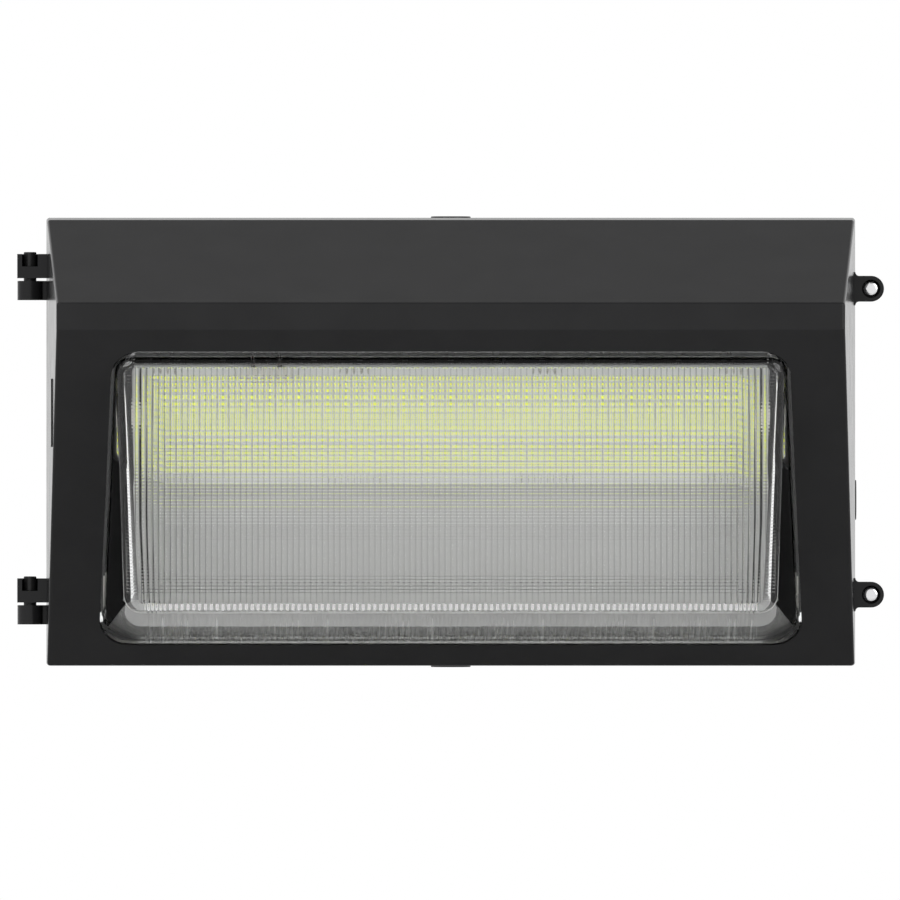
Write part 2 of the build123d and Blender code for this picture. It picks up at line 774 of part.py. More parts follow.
def lens_wedge(inset, low_behind, top_behind, corner_radius, edge_radius):
    """The lens's wedge, or its hollow when inset by the glass.

    It runs back past the sloping face by one depth at its low end and by another at its top.
    """
    root = face_forward(lens_root_bottom_z)
    slope = (lens_front_bottom[1] - lens_root_bottom_z) / (lens_front_bottom[0] - root)
    low_back = low_behind / math.cos(face_angle)
    top_back = top_behind / math.cos(face_angle)
    outline = [
        (root - low_back, lens_root_bottom_z - low_back * slope),
        lens_front_bottom,
        lens_front_top,
        (face_forward(lens_root_top_z) - top_back, lens_root_top_z),
    ]
    outline = inset_outline(outline, [inset, inset, inset, 0])
    wedge = side_prism(outline, -half_width, half_width)
    wedge = split(wedge, bisect_by=lens_side_plane(inset), keep=Keep.BOTTOM)
    wedge = wedge & mirror(wedge, about=Plane.YZ)
    middle_z = (lens_front_top[1] + lens_front_bottom[1]) / 2
    depthwise = [
        edge for edge in wedge.edges()
        if ((edge @ 0).Z > middle_z) == ((edge @ 1).Z > middle_z)
        and ((edge @ 0).X > 0) == ((edge @ 1).X > 0)
    ]
    wedge = fillet(depthwise, corner_radius)
    flat_faces = wedge.faces().filter_by(GeomType.PLANE)
    front_face = min(flat_faces, key=lambda face: face.normal_at().Y)
    return fillet(front_face.edges(), edge_radius)


def lens():
    glass = lens_wedge(
        0, lens_shoulder_sunk, flange_top_depth, lens_corner_radius, lens_edge_radius
    )
    glass += slab(opening_outline(-lens_shoulder_gap), lens_shoulder_sunk, flange_back_depth)
    glass += slab(opening_outline(flange_width), flange_top_depth, flange_back_depth)
    behind = flange_back_depth + 2 * flange_thickness
    return glass - lens_wedge(
        lens_glass, behind, behind, lens_corner_radius - lens_glass,
        lens_edge_radius - lens_glass,
    )


def lens_gasket():
    outer = opening_outline(flange_width - lens_gasket_inset)
    ring = slab(outer, door_wall, flange_top_depth)
    return ring - slab(opening_outline(lens_gasket_inset), door_wall - 1, flange_top_depth + 1)


def lens_clips():
    """Flat spring clips from the posts over the lens flange."""
    clips = []
    inner = clip_post_out - flange_width + clip_over_flange
    outer = clip_post_radius
    for x, y, (towards_x, towards_y) in clip_places():
        length = inner + outer
        shift = (inner - outer) / 2
        if towards_x:
            outline = Pos(x + towards_x * shift, y) * Rectangle(length, clip_width)
        else:
            outline = Pos(x, y + towards_y * shift) * Rectangle(clip_width, length)
        outline -= Pos(x, y) * Circle(M4[0] + screw_clearance)
        clips.append(slab(outline, flange_back_depth, flange_back_depth + clip_thickness))
    return clips


def lens_clip_screws():
    plane = sloping_plane(flange_back_depth + clip_thickness)
    length = clip_thickness + clip_screw_depth
    return [
        screw(plane.from_local_coords(Vector(x, y, 0)), plane.z_dir, M4, length)
        for x, y, _ in clip_places()
    ]


# ------------------------------------------------------------------ LED board and plate
def led_plate():
    """Aluminium plate behind the board, with upright ribs on its back."""
    plate = board_block(
        -plate_half_width, plate_half_width, plate_bottom, plate_top, plate_back,
        -board_thickness,
    )
    for index in range(rib_count):
        x = (index - (rib_count - 1) / 2) * rib_pitch
        plate += board_block(
            x - rib_thickness / 2, x + rib_thickness / 2,
            plate_bottom + rib_inset, plate_top - rib_inset,
            plate_back - rib_height, plate_back,
        )
    inwards = -board_plane().z_dir
    small = M3[0] + seat_clearance
    for x in board_screw_x:
        for y in board_screw_y:
            plate -= rod(board_at(x, y, 0), inwards, board_thickness + tap_depth, small)
    for x in reflector_screw_x:
        start = board_at(x, reflector_screw_y, 0)
        plate -= rod(start, inwards, board_thickness + tap_depth, small)
    for x in (-plate_screw_x, plate_screw_x):
        for y in plate_screw_y:
            start = board_at(x, y, plate_back - 1)
            plate -= rod(start, -inwards, tap_depth + 1, M4[0] + seat_clearance)
    return plate


def led_board():
    board = board_block(
        -board_half_width, board_half_width, -board_top, board_top, -board_thickness, 0
    )
    normal = board_plane().z_dir
    for x in board_screw_x:
        for y in board_screw_y:
            start = board_at(x, y, -board_thickness - 1)
            board -= rod(start, normal, board_thickness + 2, M3[0] + screw_clearance)
    return board


def leds():
    width, height, thickness = led_size
    pieces = []
    for column in range(led_columns):
        for row in range(led_rows):
            x = (column - (led_columns - 1) / 2) * led_pitch
            y = (row - (led_rows - 1) / 2) * led_row_pitch
            pieces.append(board_block(
                x - width / 2, x + width / 2, y - height / 2, y + height / 2, 0, thickness
            ))
    return pieces


def board_screws():
    inwards = -board_plane().z_dir
    return [
        screw(board_at(x, y, 0), inwards, M3, board_thickness + screw_reach)
        for x in board_screw_x for y in board_screw_y
    ]


def board_connectors():
    width, height, thickness = connector_size
    return [
        board_block(
            x - width / 2, x + width / 2, connector_y - height / 2, connector_y + height / 2,
            0, thickness,
        )
        for x in connector_x
    ]


def plate_screws():
    outwards = board_plane().z_dir
    return [
        screw(board_at(x, y, bracket_back), outwards, M4, bracket_thickness + screw_reach)
        for x in (-plate_screw_x, plate_screw_x) for y in plate_screw_y
    ]


# ------------------------------------------------------------------ reflector
def reflector():
    """White sheet: a flange under the board, a floor that leans back, and two side cheeks."""
    middle = -board_thickness + sheet / 2
    line = [
        board_side(reflector_flange_top, middle),
        board_side(reflector_bend, middle),
        reflector_foot,
        (reflector_foot[0] - reflector_heel, reflector_foot[1] - reflector_heel_drop),
    ]
    inner = plate_half_width + seat_clearance
    tray = side_prism(sheet_outline(line, sheet), -inner, inner)
    cheek = [
        board_side(plate_top, -board_thickness),
        board_side(reflector_bend, -board_thickness),
        (reflector_foot[0] - sheet / 2, reflector_foot[1] - sheet / 2),
        cheek_front_bottom,
        board_side(plate_top, cheek_over),
    ]
    tray += side_prism(cheek, inner, inner + sheet)
    tray += side_prism(cheek, -inner - sheet, -inner)
    for x in reflector_screw_x:
        start = board_at(x, reflector_screw_y, -board_thickness - 1)
        tray -= rod(start, board_plane().z_dir, sheet + 2, M3[0] + screw_clearance)
    return tray


def reflector_screws():
    inwards = -board_plane().z_dir
    seat = -board_thickness + sheet
    return [
        screw(board_at(x, reflector_screw_y, seat), inwards, M3, sheet + screw_reach)
        for x in reflector_screw_x
    ]


def cheek_front(z):
    """Forward distance of a cheek's front edge at a height."""
    top_forward, top_z = board_side(plate_top, cheek_over)
    low_forward, low_z = cheek_front_bottom
    return low_forward + (z - low_z) * (top_forward - low_forward) / (top_z - low_z)


def reflector_clips():
    """Small clips pushed over the cheeks' front edges."""
    width, depth, height = cheek_clip_size
    inner = plate_half_width + seat_clearance
    middle = inner + sheet / 2
    front = cheek_front(cheek_clip_z + height / 2) + depth / 4
    clips = []
    for side in (-1, 1):
        clip = block(
            side * (middle - width / 2), side * (middle + width / 2), front - depth, front,
            cheek_clip_z - height / 2, cheek_clip_z + height / 2,
        )
        slot = side_prism(
            [
                (front - depth - 1, cheek_clip_z - height),
                (cheek_front(cheek_clip_z - height) + seat_clearance, cheek_clip_z - height),
                (cheek_front(cheek_clip_z + height) + seat_clearance, cheek_clip_z + height),
                (front - depth - 1, cheek_clip_z + height),
            ],
            middle - sheet / 2 - seat_clearance, middle + sheet / 2 + seat_clearance,
        )
        clips.append(clip - (slot if side > 0 else mirror(slot, about=Plane.YZ)))
    return clips


# ------------------------------------------------------------------ brackets
def bracket(side):
    """Bent sheet: feet on two housing posts, an upright web, and a flange behind the plate."""
    outer = plate_half_width
    inner = outer - bracket_thickness
    foot_front = post_forward + bracket_thickness
    top = post_z[1] + bracket_foot_height / 2
    low = post_z[0] - bracket_foot_height / 2
    web = side_prism(
        [
            (post_forward, low),
            (foot_front + bracket_heel, low),
            board_side(plate_bottom, plate_back),
            board_side(plate_top, plate_back),
            (post_forward, top),
        ],
        inner, outer,
    )
    hole_forward, hole_z = bracket_hole_at
    hole = rod(
        place(inner - 1, hole_forward, hole_z), Vector(1, 0, 0), bracket_thickness + 2,
        bracket_hole_radius,
    )
    body = web - hole
    for z in post_z:
        body += block(
            inner, post_x + 2 * post_radius, post_forward, foot_front,
            z - bracket_foot_height / 2, z + bracket_foot_height / 2,
        )
        start = place(post_x, post_forward - 1, z)
        body -= rod(start, FORWARD, bracket_thickness + 2, M4[0] + screw_clearance)
    body += board_block(
        outer - bracket_flange, outer, plate_bottom, plate_top, bracket_back, plate_back
    )
    for y in plate_screw_y:
        start = board_at(plate_screw_x, y, bracket_back - 1)
        body -= rod(start, board_plane().z_dir, bracket_thickness + 2, M4[0] + screw_clearance)
    return body if side > 0 else mirror(body, about=Plane.YZ)


def bracket_screws():
    seat = post_forward + bracket_thickness
    length = bracket_thickness + post_screw_depth - 1
    return [
        screw(place(x, seat, z), TOWARDS_WALL, M4, length)
        for x in (-post_x, post_x) for z in post_z
    ]


# ------------------------------------------------------------------ driver and wiring
def led_driver():
    """Sealed driver case with an ear at each end."""
    width, depth, height = driver_size
    case = block(
        driver_x - width / 2, driver_x + width / 2, driver_back, driver_back + depth,
        driver_z - height / 2, driver_z + height / 2,
    )
    case = fillet(case.edges().filter_by(Axis.Y), driver_corner)
    reach = width / 2 + driver_ear
    case += block(
        driver_x - reach, driver_x + reach, driver_back, driver_back + driver_ear_thickness,
        driver_z - driver_ear_width / 2, driver_z + driver_ear_width / 2,
    )
    for x in ear_x():
        start = place(x, driver_back - 1, driver_z)
        case -= rod(start, FORWARD, driver_ear_thickness + 2, M4[0] + screw_clearance)
    return case


def driver_screws():
    seat = driver_back + driver_ear_thickness
    length = driver_ear_thickness + driver_stand + housing_floor / 3
    return [screw(place(x, seat, driver_z), TOWARDS_WALL, M4, length) for x in ear_x()]


def surge_protector():
    width, depth, height = surge_size
    case = block(
        surge_x - width / 2, surge_x + width / 2, housing_floor, housing_floor + depth,
        driver_z - height / 2, driver_z + height / 2,
    )
    return fillet(case.edges().filter_by(Axis.Y), driver_corner)


def wire_nuts():
    """Cone connectors that lie on the housing floor with their open ends up."""
    shape = Cone(
        nut_tip_radius, nut_radius, nut_length, align=(Align.CENTER, Align.CENTER, Align.MIN)
    )
    return [Pos(*place(x, housing_floor + nut_radius, nut_z)) * shape for x in nut_x]


def driver_leads():
    forward = housing_floor + nut_radius
    bottom = driver_z - driver_size[2] / 2
    return [tube([(x, forward, bottom), (x, forward, nut_open_z)], lead_radius) for x in nut_x[:2]]


def surge_leads():
    """Three leads that cross in front of the driver's, each lower than the last."""
    forward = housing_floor + 2 * nut_radius - lead_radius
    bottom = driver_z - surge_size[2] / 2
    leads = []
    for index, x in enumerate(nut_x):
        start = surge_x + surge_lead_pitch * (index - 1)
        level = nut_open_z + surge_lead_drop + surge_lead_step * (1 - index)
        leads.append(tube(
            [(start, forward, bottom), (start, forward, level), (x, forward, level),
             (x, forward, nut_open_z)],
            lead_radius,
        ))
    return leads


def ground_lead():
    """Ring terminal on the ground boss, and its lead to the third wire nut."""
    ring = rod(
        place(ground_x, ground_top, ground_z), FORWARD, terminal_thickness, terminal_radius
    )
    forward = ground_top + terminal_barrel
    barrel_foot = ground_z + terminal_radius
    barrel = rod(place(ground_x, forward, barrel_foot), UP, terminal_length, terminal_barrel)
    tongue = block(
        ground_x - terminal_barrel, ground_x + terminal_barrel,
        ground_top, ground_top + terminal_thickness,
        ground_z + terminal_radius / 2, barrel_foot + terminal_barrel,
    )
    terminal = ring + tongue + barrel
    start = place(ground_x, ground_top - 1, ground_z)
    terminal -= rod(start, FORWARD, terminal_thickness + 2, M4[0] + screw_clearance)
    seat = place(ground_x, ground_top + terminal_thickness, ground_z)
    terminal -= rod(seat, FORWARD, 2 * terminal_barrel, M4[1] + screw_clearance)
    top = barrel_foot + terminal_length
    level = top + 2 * lead_bend
    lead = tube(
        [(ground_x, forward, top), (ground_x, forward, level), (nut_x[2], forward, level),
         (nut_x[2], forward, nut_open_z)],
        lead_radius,
    )
    return terminal + lead


def ground_screw():
    seat = ground_top + terminal_thickness
    length = terminal_thickness + ground_boss_height - 1
    return screw(place(ground_x, seat, ground_z), TOWARDS_WALL, M4, length)


def led_leads():
    """Two leads from the driver, over the plate's top edge, to the board connectors."""
    width, height, thickness = connector_size
    start_x = driver_x + driver_size[0] / 2
    start_forward = driver_back + driver_size[1] * 0.7
    over = board_side(plate_top + 2 * lead_bend, thickness / 2)
    end = board_side(connector_y + height / 2, thickness / 2)
    across = over[0] - 6 * lead_bend
    leads = []
    for index, x in enumerate(connector_x):
        out = start_x + 2 * lead_bend + lead_pitch * index
        z = driver_z - lead_pitch * (1 + index)
        leads.append(tube(
            [(start_x, start_forward, z), (out, start_forward, z), (out, across, z),
             (x, across, z), (x, *over), (x, *end)],
            lead_radius,
        ))
    return leads


# ------------------------------------------------------------------ plugs and gaskets
def closure_plugs():
    """Threaded plugs with a six-sided key recess."""
    plugs = []
    for hub in HUBS:
        seat = hub_at(hub, plug_head_back)
        head = rod(seat, hub[1], plug_head_height, plug_head_radius)
        rim = head.edges().filter_by(GeomType.CIRCLE).sort_by(Axis(seat, hub[1]))[-1]
        shank = rod(seat, -hub[1], plug_shank_length, hub_radius - seat_clearance)
        face = Plane(origin=hub_at(hub, plug_proud), z_dir=-hub[1])
        key = extrude(face * RegularPolygon(plug_key_radius, 6), amount=plug_key_depth)
        plugs.append(fillet(rim, plug_proud / 2) + shank - key)
    return plugs


def plug_seals():
    seals = []
    for hub in HUBS:
        back = hub_at(hub, plug_head_back - plug_seal_thickness)
        ring = rod(back, hub[1], plug_seal_thickness, plug_head_radius)
        bore = rod(back - hub[1], hub[1], plug_seal_thickness + 2, hub_radius + seat_clearance)
        seals.append(ring - bore)
    return seals


def door_gasket():
    return gasket_ring(housing_depth - gasket_groove_depth, door_rear)


# ------------------------------------------------------------------ write the nodes
NODES = {
    "back_housing": back_housing,
    "door_gasket": door_gasket,
    "hinge_bushes": hinge_bushes,
    "hinge_pins": hinge_pins,
    "closure_plugs": closure_plugs,
    "plug_seals": plug_seals,
    "led_driver": led_driver,
    "driver_screws": driver_screws,
    "surge_protector": surge_protector,
    "wire_nuts": wire_nuts,
    "driver_leads": driver_leads,
    "surge_leads": surge_leads,
    "ground_lead": ground_lead,
    "ground_screw": ground_screw,
    "led_leads": led_leads,
    "bracket_left": lambda: bracket(-1),
    "bracket_right": lambda: bracket(1),
    "bracket_screws": bracket_screws,
    "led_plate": led_plate,
    "plate_screws": plate_screws,
    "led_board": led_board,
    "leds": leds,
    "board_screws": board_screws,
    "board_connectors": board_connectors,
    "reflector": reflector,
    "reflector_screws": reflector_screws,
    "reflector_clips": reflector_clips,
    "front_door": front_door,
    "lens": lens,
    "lens_gasket": lens_gasket,
    "lens_clips": lens_clips,
    "lens_clip_screws": lens_clip_screws,
    "door_screw_upper": lambda: door_screw(lug_z),
    "door_screw_lower": lambda: door_screw(-lug_z),
    "captive_ring_upper": lambda: captive_ring(lug_z),
    "captive_ring_lower": lambda: captive_ring(-lug_z),
}


def main():
    os.makedirs("parts", exist_ok=True)
    for name, make in NODES.items():
        made = make()
        pieces = made if isinstance(made, list) else [made]
        solids = [solid for piece in pieces for solid in piece.solids()]
        shape = solids[0] if len(solids) == 1 else Compound(children=solids)
        export_step(shape, f"parts/{name}.step")


main()
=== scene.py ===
"""Wall pack light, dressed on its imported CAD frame.

Blender works in metres. Shapes are written here in millimetres as (x, forward, z), where forward
is the distance from the wall, so a point's Y is -forward / 1000.
"""

import math
from collections import namedtuple

import bmesh
import bpy
import numpy as np
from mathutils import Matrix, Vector


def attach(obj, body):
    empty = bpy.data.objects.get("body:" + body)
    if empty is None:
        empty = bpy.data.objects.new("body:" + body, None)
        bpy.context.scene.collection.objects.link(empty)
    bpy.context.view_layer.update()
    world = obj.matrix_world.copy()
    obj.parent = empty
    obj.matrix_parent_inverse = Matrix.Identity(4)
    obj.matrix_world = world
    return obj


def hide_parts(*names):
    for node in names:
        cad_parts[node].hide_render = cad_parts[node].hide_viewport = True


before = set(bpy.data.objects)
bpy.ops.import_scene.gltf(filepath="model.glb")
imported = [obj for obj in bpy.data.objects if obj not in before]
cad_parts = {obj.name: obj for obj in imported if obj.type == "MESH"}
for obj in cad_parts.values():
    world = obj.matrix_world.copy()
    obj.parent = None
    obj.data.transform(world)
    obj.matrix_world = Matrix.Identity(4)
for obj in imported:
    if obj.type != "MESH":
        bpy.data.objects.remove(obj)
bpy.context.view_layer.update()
scene = bpy.context.scene

# ------------------------------------------------------------------ sizes shared with the CAD
nose = 190.0                # how far the door's nose stands from the wall
band_bottom = 58.7          # z where the nose band ends and the sloping face starts
face_run = 121.0            # how far the sloping face runs back
face_fall = 177.2           # how far it falls
face_angle = math.atan2(face_run, face_fall)

opening_top = 14.0          # lens opening: distances down the sloping face
opening_foot = math.hypot(face_run, face_fall) - 13.2
opening_half_top = 178.0
opening_half_bottom = 186.1
opening_radius = 15.0

lens_front_top = (183.0, 45.18)         # (forward, z) of the front's top and bottom edges
lens_front_bottom = (171.0, -89.48)
lens_root_top_z = 45.98
lens_root_bottom_z = -104.38
lens_side_inset = 1.8
lens_front_half = 171.4
shoulder_gap = 0.8
shoulder_sunk = 0.6
flange_width = 7.0
flange_top = 4.8            # depths of the flange behind the sloping face
flange_back = 9.8

board_tilt = math.radians(41.0)
board_middle = (122.0, 9.5)
led_columns = 41
led_rows = 16
led_pitch = 8.0
led_row_pitch = 4.27

# ------------------------------------------------------------------ details of the pressed glass
WALL_THICKNESS = {"front": 4.5, "top": 4.5, "bottom": 1.8, "side": 4.5}
NO_THICKNESS = dict.fromkeys(WALL_THICKNESS, 0.0)

PRISM_PITCH = 1.73          # fine grooves across the outside of the front
GROOVE_WIDTH = 0.5
GROOVE_DEPTH = 0.14
OUTER_CORNER = 9.0          # corners of the front's outline
OUTER_EDGE = (6.0, 1.0)     # radius of the border, at the lens's top and at its foot
OUTER_COLUMNS = (0.0, 55.0, 110.0, 150.0, 158.0)

FLUTE_PITCH = 3.07          # round flutes up the inside of the front and over the foot
FLUTE_HEIGHT = 0.45
FLUTE_REACH = 165.8
FLUTE_STEPS = 4
FLUTE_COLUMNS = [
    FLUTE_PITCH * k / FLUTE_STEPS for k in range(int(FLUTE_REACH / FLUTE_PITCH) * FLUTE_STEPS + 1)
]
TOP_FLUTE_SHARE = 0.4       # how much of the flutes' height is left beside the top edge
FOOT_HEIGHTS = (0.45, 0.40, 0.38, 0.34, 0.25)   # flutes over the foot, from front to flange
INNER_CORNER = 6.0
INNER_EDGE = (1.5, 4.2)
INNER_CHAMFER = (0.0, 1.0)  # how far the inner border is flattened, at the top and at the foot
SQUEEZE_FROM = 150.0        # where the inner columns begin to close up towards the corners

# material numbers of the lens's faces and of the LED packages' faces
CLEAR, STIPPLED, FLUTED = 0, 1, 2
BODY, PHOSPHOR, SOLDER = 0, 1, 2

Station = namedtuple("Station", "point inwards back part")

# ------------------------------------------------------------------ camera
CAMERA_DISTANCE = 17.2
CAMERA_LENS = 1300.0
camera_data = bpy.data.cameras.new("camera")
camera_data.type = "PERSP"
camera_data.sensor_width = 36.0
camera_data.lens = CAMERA_LENS
camera_data.clip_start = 1.0
camera_data.clip_end = 40.0
camera = bpy.data.objects.new("camera", camera_data)
camera.location = (-0.0004, -0.059 - CAMERA_DISTANCE, -0.0044)
camera.rotation_euler = (math.radians(90), 0, 0)
scene.collection.objects.link(camera)
scene.camera = camera
scene.view_settings.view_transform = "Standard"


# ------------------------------------------------------------------ node helpers
class Nodes:
    """A small wrapper that adds nodes to a tree and joins them."""

    def __init__(self, tree, clear=True):
        self.tree = tree
        if clear:
            tree.nodes.clear()

    def add(self, kind, values=None, **attributes):
        node = self.tree.nodes.new(kind)
        for name, value in attributes.items():
            setattr(node, name, value)
        for key, value in (values or {}).items():
            self.set(node.inputs[key], value)
        return node

    def set(self, socket, value):
        if isinstance(value, bpy.types.NodeSocket):
            self.tree.links.new(value, socket)
        else:
            socket.default_value = value

    def math(self, operation, a, b=0.0):
        return self.add("ShaderNodeMath", {0: a, 1: b}, operation=operation).outputs[0]

    def noise(self, where, scale, detail=2.0, roughness=0.5):
        values = {"Vector": where, "Scale": scale, "Detail": detail, "Roughness": roughness}
        return self.add("ShaderNodeTexNoise", values).outputs["Fac"]

    def span(self, value, low, high, new_low=0.0, new_high=1.0):
        values = {
            "Value": value, "From Min": low, "From Max": high,
            "To Min": new_low, "To Max": new_high,
        }
        return self.add("ShaderNodeMapRange", values).outputs[0]

    def mix(self, share, a, b):
        node = self.add("ShaderNodeMix", data_type="RGBA")
        self.set(node.inputs[0], share)
        self.set(node.inputs[6], a)
        self.set(node.inputs[7], b)
        return node.outputs[2]

    def mix_shaders(self, share, a, b):
        node = self.add("ShaderNodeMixShader", {0: share})
        self.set(node.inputs[1], a)
        self.set(node.inputs[2], b)
        return node.outputs[0]

    def place(self):
        return self.add("ShaderNodeTexCoord").outputs["Object"]

    def part_of(self, vector, axis):
        return self.add("ShaderNodeSeparateXYZ", {0: vector}).outputs[axis]

    def finish(self, kind, shader):
        self.set(self.add(kind).inputs[0], shader)


def grey(value):
    return (value, value, value, 1.0)


def coat(
    name, colour, other=None, patch=40.0, rough=(0.4, 0.5), rough_scale=90.0, grain=900.0,
    depth=0.00003, metallic=0.0, specular=0.5, stretch=(1, 1, 1), **sockets
):
    """A surface whose colour drifts between two close tones, with uneven gloss and a fine grain.

    patch, rough_scale and grain are noise scales, and the grain's depth is in metres.
    """
    made = bpy.data.materials.new(name)
    made.use_nodes = True
    nodes = Nodes(made.node_tree)
    drawn = nodes.add("ShaderNodeMapping", {"Vector": nodes.place(), "Scale": stretch}).outputs[0]
    drift = nodes.noise(drawn, patch, 3.0)
    other = other or tuple(min(1.0, c * 1.25) for c in colour[:3]) + (1.0,)
    tone = nodes.mix(nodes.span(drift, 0.35, 0.65), colour, other)
    gloss = nodes.span(nodes.noise(drawn, rough_scale), 0.3, 0.7, *rough)
    relief = nodes.noise(drawn, grain, 2.0, 0.6)
    bump = nodes.add("ShaderNodeBump", {"Height": relief, "Distance": depth, "Strength": 1.0})
    shader = nodes.add("ShaderNodeBsdfPrincipled", {
        "Base Color": tone, "Roughness": gloss, "Metallic": metallic,
        "Specular IOR Level": specular, "Normal": bump.outputs[0],
    })
    for key, value in sockets.items():
        shader.inputs[key.replace("_", " ")].default_value = value
    nodes.finish("ShaderNodeOutputMaterial", shader.outputs[0])
    return made


def glass(name, rough, grain, depth):
    return coat(
        name, (0.988, 0.994, 0.990, 1), (0.994, 0.997, 0.994, 1), rough=rough, grain=grain,
        depth=depth, Transmission_Weight=1.0, IOR=1.47,
    )


def reopened(made):
    """A finished material's nodes, its colour socket and what feeds that socket."""
    nodes = Nodes(made.node_tree, clear=False)
    shader = next(node for node in nodes.tree.nodes if node.type == "BSDF_PRINCIPLED")
    socket = shader.inputs["Base Color"]
    return nodes, socket, socket.links[0].from_socket


def add_sleeve(made, above, thickness):
    """Black sleeve over the part of a wire that lies higher than a height in metres."""
    nodes, colour, insulation = reopened(made)
    height = nodes.part_of(nodes.place(), 2)
    edge = nodes.span(height, above, above + thickness)
    nodes.set(colour, nodes.mix(edge, insulation, (0.012, 0.012, 0.012, 1.0)))


def add_painted_groove_shade(made, pitch, width):
    """Painted shade: darker glass colour along the narrow groove between two flutes, stronger
    towards the lens's sides.
    """
    nodes, colour, clear = reopened(made)
    across = nodes.math("ABSOLUTE", nodes.part_of(nodes.place(), 0))
    share = nodes.math("FRACT", nodes.math("DIVIDE", across, pitch))
    middle = nodes.math("ABSOLUTE", nodes.math("SUBTRACT", share, 0.5))
    line = nodes.span(middle, 0.5 - width, 0.5)
    # how strong the painted shade is, growing towards the lens's sides
    strength = nodes.span(across, 0.05, 0.165, 0.30, 0.92)
    groove_shade = nodes.math("MULTIPLY", line, strength)
    nodes.set(colour, nodes.mix(groove_shade, clear, (0.10, 0.11, 0.11, 1.0)))


# ------------------------------------------------------------------ materials
powder_coat = coat(
    "powder_coat", (0.0105, 0.0105, 0.0110, 1), (0.0125, 0.0125, 0.0130, 1), rough=(0.17, 0.21),
    rough_scale=60.0, grain=700.0, depth=0.000003, specular=0.2,
)
black_steel = coat(
    "black_steel", (0.010, 0.010, 0.010, 1), (0.014, 0.014, 0.014, 1), rough=(0.25, 0.35),
    grain=1800.0, depth=0.000005, specular=0.25,
)
rubber = coat(
    "gasket_rubber", (0.014, 0.014, 0.014, 1), rough=(0.75, 0.9), grain=2500.0, depth=0.00002,
    specular=0.3,
)
zinc = coat(
    "zinc_steel", (0.56, 0.55, 0.52, 1), (0.66, 0.65, 0.61, 1), patch=300.0, metallic=1.0,
    rough=(0.25, 0.4), grain=1500.0, depth=0.00001,
)
chrome = coat(
    "chrome_screw", (0.72, 0.72, 0.73, 1), (0.78, 0.78, 0.79, 1), metallic=1.0,
    rough=(0.08, 0.16), rough_scale=500.0, grain=3000.0, depth=0.000003,
)
plug_metal = coat(
    "plug_metal", (0.012, 0.012, 0.0125, 1), rough=(0.35, 0.5), grain=1400.0, depth=0.00002,
    specular=0.3,
)
driver_black = coat(
    "driver_case", (0.016, 0.016, 0.017, 1), rough=(0.45, 0.6), grain=1800.0, depth=0.00003,
)
black_plastic = coat(
    "black_plastic", (0.02, 0.02, 0.021, 1), rough=(0.4, 0.55), grain=2200.0, depth=0.00002,
)
nut_orange = coat(
    "nut_orange", (0.62, 0.16, 0.015, 1), (0.70, 0.20, 0.02, 1), rough=(0.35, 0.5),
    grain=1600.0, depth=0.00001,
)
wire_black = coat("wire_black", (0.012, 0.012, 0.012, 1), rough=(0.35, 0.5), grain=900.0)
wire_green = coat("wire_green", (0.02, 0.20, 0.045, 1), rough=(0.35, 0.5), grain=900.0)
wire_sleeved = coat("wire_sleeved", (0.45, 0.015, 0.012, 1), rough=(0.35, 0.5), grain=900.0)
add_sleeve(wire_sleeved, 0.0405, 0.0003)
bare_aluminium = coat(
    "bare_aluminium", (0.62, 0.63, 0.64, 1), (0.70, 0.71, 0.72, 1), metallic=1.0,
    rough=(0.28, 0.42), stretch=(0.05, 1, 1), grain=1200.0, depth=0.00001,
)
board_white = coat(
    "board_white", (0.90, 0.91, 0.89, 1), (0.92, 0.93, 0.91, 1), rough=(0.3, 0.4), grain=700.0,
    depth=0.00001,
)
connector_white = coat(
    "connector_white", (0.70, 0.69, 0.64, 1), rough=(0.35, 0.5), grain=2000.0, depth=0.00001,
)
white_sheet = coat(
    "white_sheet", (0.58, 0.58, 0.575, 1), (0.62, 0.62, 0.615, 1), rough=(0.4, 0.5),
    grain=900.0, depth=0.00002,
)
spring_steel = coat(
    "spring_steel", (0.50, 0.50, 0.50, 1), metallic=1.0, rough=(0.2, 0.35), grain=1500.0,
    depth=0.000005,
)
led_body = coat(
    "led_body", (0.78, 0.78, 0.76, 1), rough=(0.35, 0.45), grain=3000.0, depth=0.000005,
)
# the slight emission is a painted glow: it brightens the unlit phosphor whatever the lamps do
phosphor = coat(
    "led_phosphor", (0.84, 0.92, 0.05, 1), (0.88, 0.95, 0.08, 1), patch=900.0,
    rough=(0.2, 0.3), grain=6000.0, depth=0.00001, Emission_Color=(0.86, 1.0, 0.08, 1),
    Emission_Strength=0.68,
)
solder = coat(
    "solder", (0.60, 0.61, 0.62, 1), metallic=1.0, rough=(0.25, 0.4), grain=4000.0,
    depth=0.00001,
)
clear_glass = glass("lens_glass", (0.0, 0.01), 150.0, 0.00001)
stippled_glass = glass("lens_glass_stippled", (0.36, 0.44), 900.0, 0.00002)
fluted_glass = glass("lens_glass_fluted", (0.0, 0.01), 150.0, 0.00001)
# painted shade along the grooves between the inner flutes
add_painted_groove_shade(fluted_glass, FLUTE_PITCH / 1000, 0.16)

